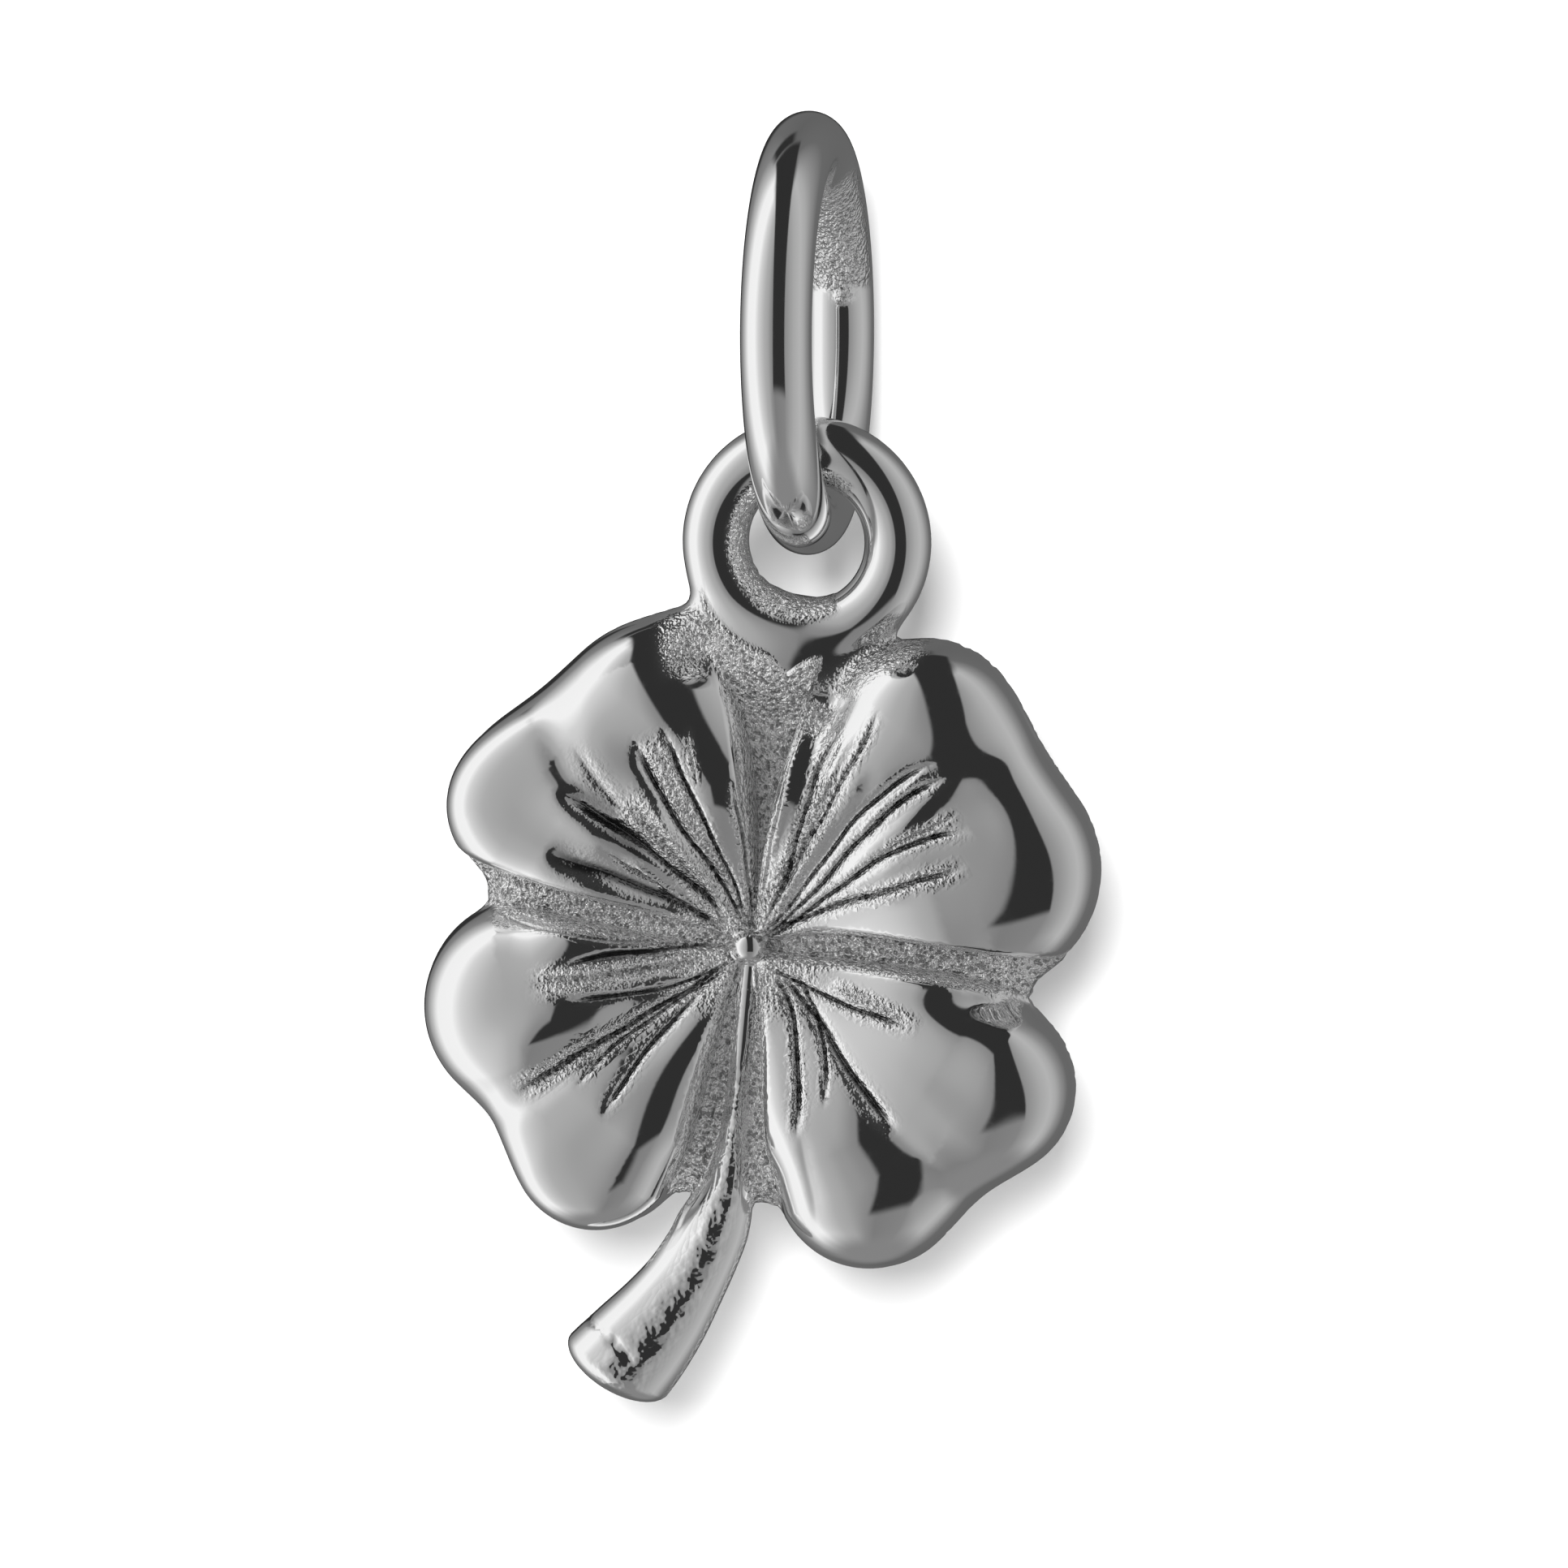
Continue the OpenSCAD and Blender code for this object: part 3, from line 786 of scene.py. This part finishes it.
class PENDANT_PG_charm(bpy.types.PropertyGroup):
    reach: FloatProperty(
        name="Clover reach", description="From the bead to the end of the longest lobe",
        default=5.91 * MM, unit="LENGTH", precision=5,
    )
    web_reach: FloatProperty(
        name="Web reach", description="From the bead to the edge of the web between the leaves",
        default=4.25 * MM, unit="LENGTH", precision=5,
    )
    dome_height: FloatProperty(
        name="Dome height", description="Height of the leaves in front of the casting's middle plane",
        default=1.35 * MM, unit="LENGTH", precision=5,
    )
    dome_fullness: FloatProperty(
        name="Dome fullness", description="How boxy the leaves' domes are; 2 is an ellipse",
        default=2.5, min=2, max=4,
    )
    core_height: FloatProperty(
        name="Core height", description="Height of the leaves where they meet at the bead",
        default=0.62 * MM, unit="LENGTH", precision=5,
    )
    floor_height: FloatProperty(
        name="Floor height", description="Height of the grooves' floor between the leaves",
        default=0.3 * MM, unit="LENGTH", precision=5,
    )
    back_depth: FloatProperty(
        name="Back depth", description="Depth of the plain back behind the middle plane",
        default=0.55 * MM, unit="LENGTH", precision=5,
    )
    edge_round: FloatProperty(
        name="Edge round", description="Radius that rounds the back's edge",
        default=0.45 * MM, unit="LENGTH", precision=5,
    )
    pleat_relief: FloatProperty(
        name="Pleat relief", description="How strongly the pleats are cut, as a share of their usual depth",
        default=1.0, min=0, max=1.5,
    )
    flank_run: FloatProperty(
        name="Flank run", description="Distance over which a leaf's flank rises out of the groove",
        default=0.2 * MM, unit="LENGTH", precision=5,
    )
    shoulder_drop: FloatProperty(
        name="Shoulder drop",
        description="How far the leaves' shoulders fall to the grooves, as a share of the usual fall",
        default=1.0, min=0, max=1.5,
    )
    bead_width: FloatProperty(
        name="Bead", description="Diameter of the centre bead",
        default=0.56 * MM, unit="LENGTH", precision=5,
    )
    stem_reach: FloatProperty(
        name="Stem reach", description="From the bead to the stem's end",
        default=7.245 * MM, unit="LENGTH", precision=5,
    )
    stem_width: FloatProperty(
        name="Stem width", description="Width of the stem at its flared end",
        default=1.88 * MM, unit="LENGTH", precision=5,
    )
    stem_flatness: FloatProperty(
        name="Stem flatness", description="Thickness of the stem as a share of its width", default=0.82,
    )
    eyelet_wire: FloatProperty(
        name="Eyelet rim", description="Diameter of the eyelet's round rim",
        default=1.06 * MM, unit="LENGTH", precision=5,
    )
    eyelet_hole: FloatProperty(
        name="Eyelet hole", description="Diameter of the eyelet's hole",
        default=1.88 * MM, unit="LENGTH", precision=5,
    )
    eyelet_rise: FloatProperty(
        name="Eyelet rise", description="From the bead up to the eyelet's middle",
        default=6.5 * MM, unit="LENGTH", precision=5,
    )
    hang: FloatProperty(
        name="Hang", description="From the middle of the ring's wire down to the eyelet's middle",
        default=0.35 * MM, unit="LENGTH", precision=5,
    )
    lean: FloatProperty(
        name="Lean", description="Lean of the charm from the plumb line",
        default=math.radians(7.4), subtype="ANGLE",
    )
    cell: FloatProperty(
        name="Cell", description="Size of the cells that the charm is first meshed in",
        default=0.1 * MM, unit="LENGTH", precision=5,
    )


class PENDANT_PG_finish(bpy.types.PropertyGroup):
    bright: FloatVectorProperty(
        name="Bright silver", description="Colour of polished silver",
        default=(0.90, 0.90, 0.90), size=3, subtype="COLOR",
    )
    # Besides the darker metal in the grain's pits, this colour is the painted shade along the pleats' bottoms
    dull: FloatVectorProperty(
        name="Dull silver", description="Colour of the darkened metal in grooves and pits",
        default=(0.08, 0.08, 0.08), size=3, subtype="COLOR",
    )
    scuffed: FloatVectorProperty(
        name="Scuffed silver", description="Colour of the rough metal of the soldered seam",
        default=(0.45, 0.45, 0.45), size=3, subtype="COLOR",
    )
    grain_size: FloatProperty(
        name="Grain size", description="Size of the grains that the casting leaves in its grooves",
        default=0.07 * MM, unit="LENGTH", precision=5,
    )
    pit_depth: FloatProperty(
        name="Pit depth", description="Depth of the pits as a share of the grains' size", default=1.9,
    )
    dent_depth: FloatProperty(
        name="Dent depth", description="Depth of the dents along the stem's crown",
        default=0.06 * MM, unit="LENGTH", precision=5,
    )


class PENDANT_PG_stage(bpy.types.PropertyGroup):
    azimuth: FloatProperty(
        name="Azimuth", description="How far the camera stands to the right of the front",
        default=math.radians(10.3), subtype="ANGLE",
    )
    elevation: FloatProperty(
        name="Elevation", description="How far the camera looks down",
        default=math.radians(6.5), subtype="ANGLE",
    )
    distance: FloatProperty(
        name="Distance", description="From the camera to the middle of the frame",
        default=77.9 * MM, unit="LENGTH", precision=5,
    )
    view_width: FloatProperty(
        name="View width", description="Width of the picture at the pendant",
        default=25.09 * MM, unit="LENGTH", precision=5,
    )


def seam_tree(name, material):
    """A ring of round wire, swept round a circle in the YZ plane, with a solder seam across it."""
    tree = bpy.data.node_groups.new(name, "GeometryNodeTree")
    face = tree.interface
    for label in ("Ring Radius", "Wire Radius", "Seam Angle", "Seam Height", "Seam Width", "Filed Angle"):
        face.new_socket(label, in_out="INPUT", socket_type="NodeSocketFloat")
    for label in ("Turns", "Sides"):
        face.new_socket(label, in_out="INPUT", socket_type="NodeSocketInt")
    face.new_socket("Mesh", in_out="OUTPUT", socket_type="NodeSocketGeometry")
    m = Maker(tree)
    size = m.node("NodeGroupInput").outputs
    path, wire = (
        m.output("GeometryNodeCurvePrimitiveCircle", "Curve", values={"Resolution": count, "Radius": radius})
        for count, radius in ((size["Turns"], size["Ring Radius"]), (size["Sides"], size["Wire Radius"]))
    )
    shape = m.output("GeometryNodeCurveToMesh", "Mesh", values={"Curve": path, "Profile Curve": wire})

    def change(kind, values, settings=None):
        return m.output(kind, "Geometry", settings, {"Geometry": shape, **values})

    shape = change("GeometryNodeTransform", {"Rotation": (0.0, math.pi / 2, 0.0)})
    position = m.output("GeometryNodeInputPosition", "Position")
    x, y, z = m.axes(position)
    wander = m.noise(position, 2500.0, 2.0) - 0.5
    radius, wire_radius, seam_angle, seam_height, seam_width, filed_angle = (
        Num(m, socket) for socket in size[:6]
    )
    past_seam = m.math("ARCTAN2", z, y) - seam_angle
    away = (past_seam * radius + wander * seam_width) / seam_width
    inner = m.step((m.math("SQRT", y * y + z * z) - radius) / wire_radius, -0.6, 0.0, 1.0, 0.0)
    # The lump of solder lies a little to one side of the wire's inner line
    aside = (x / wire_radius - 0.26) * 4.5
    spot = m.math("EXPONENT", -(away * away + aside * aside)) * inner
    # The wire's inner side is filed dull from the seam upwards
    filed = past_seam / filed_angle
    filed = m.step(filed, 0.0, 0.1) * m.step(filed, 0.7, 1.0, 0.7, 0.0) * inner
    normal = m.output("GeometryNodeInputNormal", "Normal")
    lump = {"Vector": normal, "Scale": -(spot * wander * 4.0 * seam_height)}
    shift = m.output("ShaderNodeVectorMath", "Vector", {"operation": "SCALE"}, lump)
    shape = change("GeometryNodeSetPosition", {"Offset": shift})
    grain = {"Name": "grain", "Value": m.math("MAXIMUM", spot, filed)}
    shape = change("GeometryNodeStoreNamedAttribute", grain, {"data_type": "FLOAT", "domain": "POINT"})
    shape = change("GeometryNodeSetShadeSmooth", {})
    shape = change("GeometryNodeRealizeInstances", {})
    shape = change("GeometryNodeSetMaterial", {"Material": material})
    m.node("NodeGroupOutput", values={"Mesh": shape})
    return tree


def bake_nodes(name, tree, inputs):
    """Runs a Geometry Nodes tree on an empty mesh and keeps its result as a plain mesh object."""
    made = add_object(name, bpy.data.meshes.new(name))
    modifier = made.modifiers.new(name, "NODES")
    modifier.node_group = tree
    for item in tree.interface.items_tree:
        if item.in_out == "INPUT" and item.name in inputs:
            modifier[item.identifier] = inputs[item.name]
    graph = bpy.context.evaluated_depsgraph_get()
    mesh = bpy.data.meshes.new_from_object(made.evaluated_get(graph))
    made.modifiers.clear()
    made.data = mesh
    mesh.name = name
    return made


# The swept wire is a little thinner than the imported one, so that it stays inside the frame's box
WIRE_SHARE = 0.999
# How many sections there are round the ring, and how many sides the wire has
RING_TURNS, WIRE_SIDES = 720, 64


class PENDANT_OT_jump_ring(bpy.types.Operator):
    """Sweep the jump ring's wire and solder its seam"""

    bl_idname = "pendant.jump_ring"
    bl_label = "Jump Ring"

    def execute(self, context):
        size = context.scene.pendant_ring
        finish = context.scene.pendant_finish
        metal = silver("polished_silver", finish, finish.scuffed, rough=0.30, ripple=2e-6, cast=False)
        made = bake_nodes("jump_ring_wire", seam_tree("ring_wire", metal), {
            "Ring Radius": (size.outside - size.wire) / 2,
            "Wire Radius": size.wire / 2 * WIRE_SHARE,
            "Seam Angle": size.seam_angle,
            "Seam Height": size.seam_height,
            "Seam Width": size.seam_width,
            "Filed Angle": size.filed_angle,
            "Turns": RING_TURNS,
            "Sides": WIRE_SIDES,
        })
        if not made.data.polygons:
            raise RuntimeError("the jump ring's tree made no faces")
        made.data.transform(Matrix.Translation(RING_MIDDLE))
        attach(made, "ring")
        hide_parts("jump_ring")
        return {"FINISHED"}


class PENDANT_OT_clover_charm(bpy.types.Operator):
    """Mesh the cast charm: leaves, web, bead, stem, neck and eyelet"""

    bl_idname = "pendant.clover_charm"
    bl_label = "Clover Charm"

    def execute(self, context):
        size = context.scene.pendant_charm
        finish = context.scene.pendant_finish
        clover = Clover(size)
        points, triangles = clover_mesh(clover, size.cell / MM)
        _, slope = clover.slope(points)
        slope /= np.linalg.norm(slope, axis=1)[:, None]
        # From the charm's frame, where out is towards the viewer, to the row frame, hung and leaned
        c, s = math.cos(size.lean), math.sin(size.lean)
        turn = np.array([[c, 0, s], [0, -1, 0], [-s, 0, c]])
        hung = (points - [0, 0, clover.eyelet_up + size.hang / MM]) @ turn.T * MM + np.array(PIVOT)
        # The out axis is mirrored, so the triangles are turned round to keep facing outwards
        made = mesh_object("clover_casting", hung, triangles[:, ::-1])
        made.data.normals_split_custom_set_from_vertices(slope @ turn.T)
        # The second of these attributes is shade painted dark into the pleats' bottoms
        for name, amount in zip(("grain", "soot", "beaten"), clover.wear_and_groove_shade(points)):
            attribute = made.data.attributes.new(name, "FLOAT", "POINT")
            attribute.data.foreach_set("value", amount.astype(np.float32))
        metal = silver("cast_silver", finish, finish.dull, rough=0.12, ripple=3e-6, cast=True)
        made.data.materials.append(metal)
        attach(made, "charm")
        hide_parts("clover_charm")
        return {"FINISHED"}


# What the silver mirrors: degrees round from the front towards the right, and brightness
SURROUND = (
    (-180, 0.13), (-150, 0.15), (-128, 0.24), (-108, 0.55), (-90, 0.96), (-62, 0.98), (-50, 0.72),
    (-38, 0.58), (-27, 0.46), (-16, 0.40), (-6, 0.28), (0, 0.24), (3, 0.22), (36, 0.25), (42, 0.29),
    (56, 0.36), (70, 0.43), (92, 0.50), (108, 0.43), (125, 0.29), (148, 0.15), (180, 0.13),
)


# The dark card and the dark strip face this way, to the right of the front. Their edges are given on a
# sphere of radius 1: where one starts and is full, and where the other fades and ends
FACING = math.radians(19.5)
CARD_SIDE, CARD_FORWARD, CARD_UP = (-0.36, -0.30, 0.28, 0.34), (-0.45, -0.35), (-0.52, -0.40)
STRIP_SIDE, STRIP_FORWARD, STRIP_UP = (-0.42, -0.28, 0.05, 0.20), (-0.64, -0.56, -0.46, -0.38), (0.2, 0.5)
# Brightness of the ceiling, the ground, and the card, the strip and the dark behind
CEILING, GROUND, DARK = 0.05, 0.25, 0.03

# The place that the camera looks at
AIM = Vector((-0.41 * MM, 0, -9.58 * MM))
# The paper stands this far behind the pendant and lies this far below it, with a bend between, and
# reaches this far to each side
WALL_GAP, FLOOR_GAP, BEND_RADIUS, HALF_WIDTH = 0.6 * MM, 14 * MM, 8 * MM, 400 * MM
BEND_STEPS = 12
PAPER, PAPER_GLOW = (0.55, 0.55, 0.55, 1), 0.20
# The lamp's size, its power in watts, its distance, and its angles to the right of the pendant and above it
LAMP_SIZE, LAMP_POWER, LAMP_DISTANCE = 37 * MM, 0.42, 150 * MM
LAMP_RIGHT, LAMP_ABOVE = math.radians(4.5), math.radians(16.5)


class PENDANT_OT_stage(bpy.types.Operator):
    """Set the camera, the light and the pale floor and backdrop"""

    bl_idname = "pendant.stage"
    bl_label = "Stage"

    def execute(self, context):
        low, high = (Vector(v) for v in CAD_BOX)
        self.camera(context.scene)
        self.surround(context.scene)
        self.sweep(low, high)
        self.lamp(low, high)
        context.scene.view_settings.view_transform = "Standard"
        return {"FINISHED"}

    def camera(self, scene):
        size = scene.pendant_stage
        right, up = size.azimuth, size.elevation
        flat = math.cos(up)
        away = Vector((math.sin(right) * flat, -math.cos(right) * flat, math.sin(up)))
        camera = add_object("camera", bpy.data.cameras.new("camera"))
        camera.location = AIM + away * size.distance
        camera.rotation_euler = (-away).to_track_quat("-Z", "Y").to_euler()
        camera.data.lens = camera.data.sensor_width * size.distance / size.view_width
        camera.data.clip_start = 1 * MM
        camera.data.clip_end = 10.0
        scene.camera = camera

    def surround(self, scene):
        """Grey walls, a dark card and a dark strip that only the silver mirrors. The camera sees white."""
        world = bpy.data.worlds.new("studio")
        world.use_nodes = True
        scene.world = world
        m = Maker(world.node_tree)
        x, y, z = m.axes(m.output("ShaderNodeTexCoord", "Generated"))
        round_turn = m.math("ARCTAN2", x, -y) / (2 * math.pi) + 0.5
        stops = [(angle / 360 + 0.5, grey) for angle, grey in SURROUND]
        walls = m.output("ShaderNodeValToRGB", "Color", {"stops": stops}, {"Fac": round_turn})
        walls = m.number("ShaderNodeRGBToBW", "Val", values={"Color": walls})
        ceiling = m.step(z, 0.90, 0.97)
        ground = m.step(z, -0.97, -0.75, 1.0, 0.0)
        light = walls * (1 - ceiling) * (1 - ground) + ceiling * CEILING + ground * GROUND
        side = x * math.cos(FACING) + y * math.sin(FACING)
        forward = x * math.sin(FACING) - y * math.cos(FACING)
        # The card stands before the pendant and reaches over it
        card = m.band(side, *CARD_SIDE) * m.step(forward, *CARD_FORWARD) * m.step(z, *CARD_UP)
        # The strip is behind the zenith, and only the metal's outermost edges mirror the dark behind
        strip = m.band(forward, *STRIP_FORWARD) * m.step(z, *STRIP_UP) * m.band(side, *STRIP_SIDE)
        behind = m.step(forward, -0.98, -0.91, 1.0, 0.0)
        dark = m.math("MAXIMUM", m.math("MAXIMUM", card, strip), behind)
        light = light * (1 - dark) + dark * DARK
        seen = m.number("ShaderNodeLightPath", "Is Camera Ray")
        values = {"Color": (1, 1, 1, 1), "Strength": seen + (1 - seen) * light}
        back = m.output("ShaderNodeBackground", "Background", values=values)
        m.node("ShaderNodeOutputWorld", values={"Surface": back})

    def sweep(self, low, high):
        """A pale floor that curves up into a backdrop, open from behind."""
        wall, floor = high.y + WALL_GAP, low.z - FLOOR_GAP
        start = wall - BEND_RADIUS
        profile = [(-HALF_WIDTH, floor), (start, floor)]
        for i in range(1, BEND_STEPS + 1):
            a = math.radians(90 * i / BEND_STEPS)
            profile.append((start + BEND_RADIUS * math.sin(a), floor + BEND_RADIUS * (1 - math.cos(a))))
        profile.append((wall, HALF_WIDTH))
        points = [(side, y, z) for y, z in profile for side in (-HALF_WIDTH, HALF_WIDTH)]
        faces = [(2 * i, 2 * i + 1, 2 * i + 3, 2 * i + 2) for i in range(len(profile) - 1)]
        sweep = mesh_object("sweep", points, faces)
        material, m = node_material("paper")
        paper = m.output("ShaderNodeBsdfDiffuse", 0, values={"Color": PAPER})
        glow = m.output("ShaderNodeEmission", 0, values={"Color": (1, 1, 1, 1), "Strength": PAPER_GLOW})
        lit = m.output("ShaderNodeAddShader", 0, values={0: paper, 1: glow})
        clear = m.output("ShaderNodeBsdfTransparent", 0)
        behind = m.output("ShaderNodeNewGeometry", "Backfacing")
        mixed = m.output("ShaderNodeMixShader", 0, values={0: behind, 1: lit, 2: clear})
        m.node("ShaderNodeOutputMaterial", values={"Surface": mixed})
        sweep.data.materials.append(material)
        sweep.visible_glossy = False

    def lamp(self, low, high):
        """The lamp that throws the soft shadow. The silver doesn't mirror it."""
        lamp = add_object("lamp", bpy.data.lights.new("lamp", "AREA"))
        lamp.data.size = LAMP_SIZE
        lamp.data.energy = LAMP_POWER
        aim = Vector((0, 0, (low.z + high.z) / 2))
        away = Vector((math.sin(LAMP_RIGHT), -1, math.tan(LAMP_ABOVE)))
        lamp.location = aim + away * LAMP_DISTANCE
        lamp.rotation_euler = (aim - lamp.location).to_track_quat("-Z", "Y").to_euler()
        lamp.visible_glossy = False


class PENDANT_PT_panel(bpy.types.Panel):
    """The pendant's pieces and their sizes"""

    bl_idname = "PENDANT_PT_panel"
    bl_label = "Clover Pendant"
    bl_space_type = "VIEW_3D"
    bl_region_type = "UI"
    bl_category = "Pendant"

    def draw(self, context):
        for operator, group in PIECES:
            box = self.layout.box()
            box.operator(operator)
            settings = getattr(context.scene, group)
            for name in settings.__annotations__:
                box.prop(settings, name)
        finish = context.scene.pendant_finish
        for name in finish.__annotations__:
            self.layout.prop(finish, name)


PIECES = (
    ("pendant.stage", "pendant_stage"),
    ("pendant.jump_ring", "pendant_ring"),
    ("pendant.clover_charm", "pendant_charm"),
)
GROUPS = {
    "pendant_ring": PENDANT_PG_ring,
    "pendant_charm": PENDANT_PG_charm,
    "pendant_finish": PENDANT_PG_finish,
    "pendant_stage": PENDANT_PG_stage,
}
CLASSES = (
    *GROUPS.values(),
    PENDANT_OT_jump_ring,
    PENDANT_OT_clover_charm,
    PENDANT_OT_stage,
    PENDANT_PT_panel,
)


def register():
    for item in CLASSES:
        bpy.utils.register_class(item)
    for name, group in GROUPS.items():
        setattr(bpy.types.Scene, name, PointerProperty(type=group))


def unregister():
    for name in GROUPS:
        delattr(bpy.types.Scene, name)
    for item in reversed(CLASSES):
        bpy.utils.unregister_class(item)


def main():
    register()
    bpy.ops.pendant.stage()
    bpy.ops.pendant.jump_ring()
    bpy.ops.pendant.clover_charm()


if __name__ == "__main__":
    main()
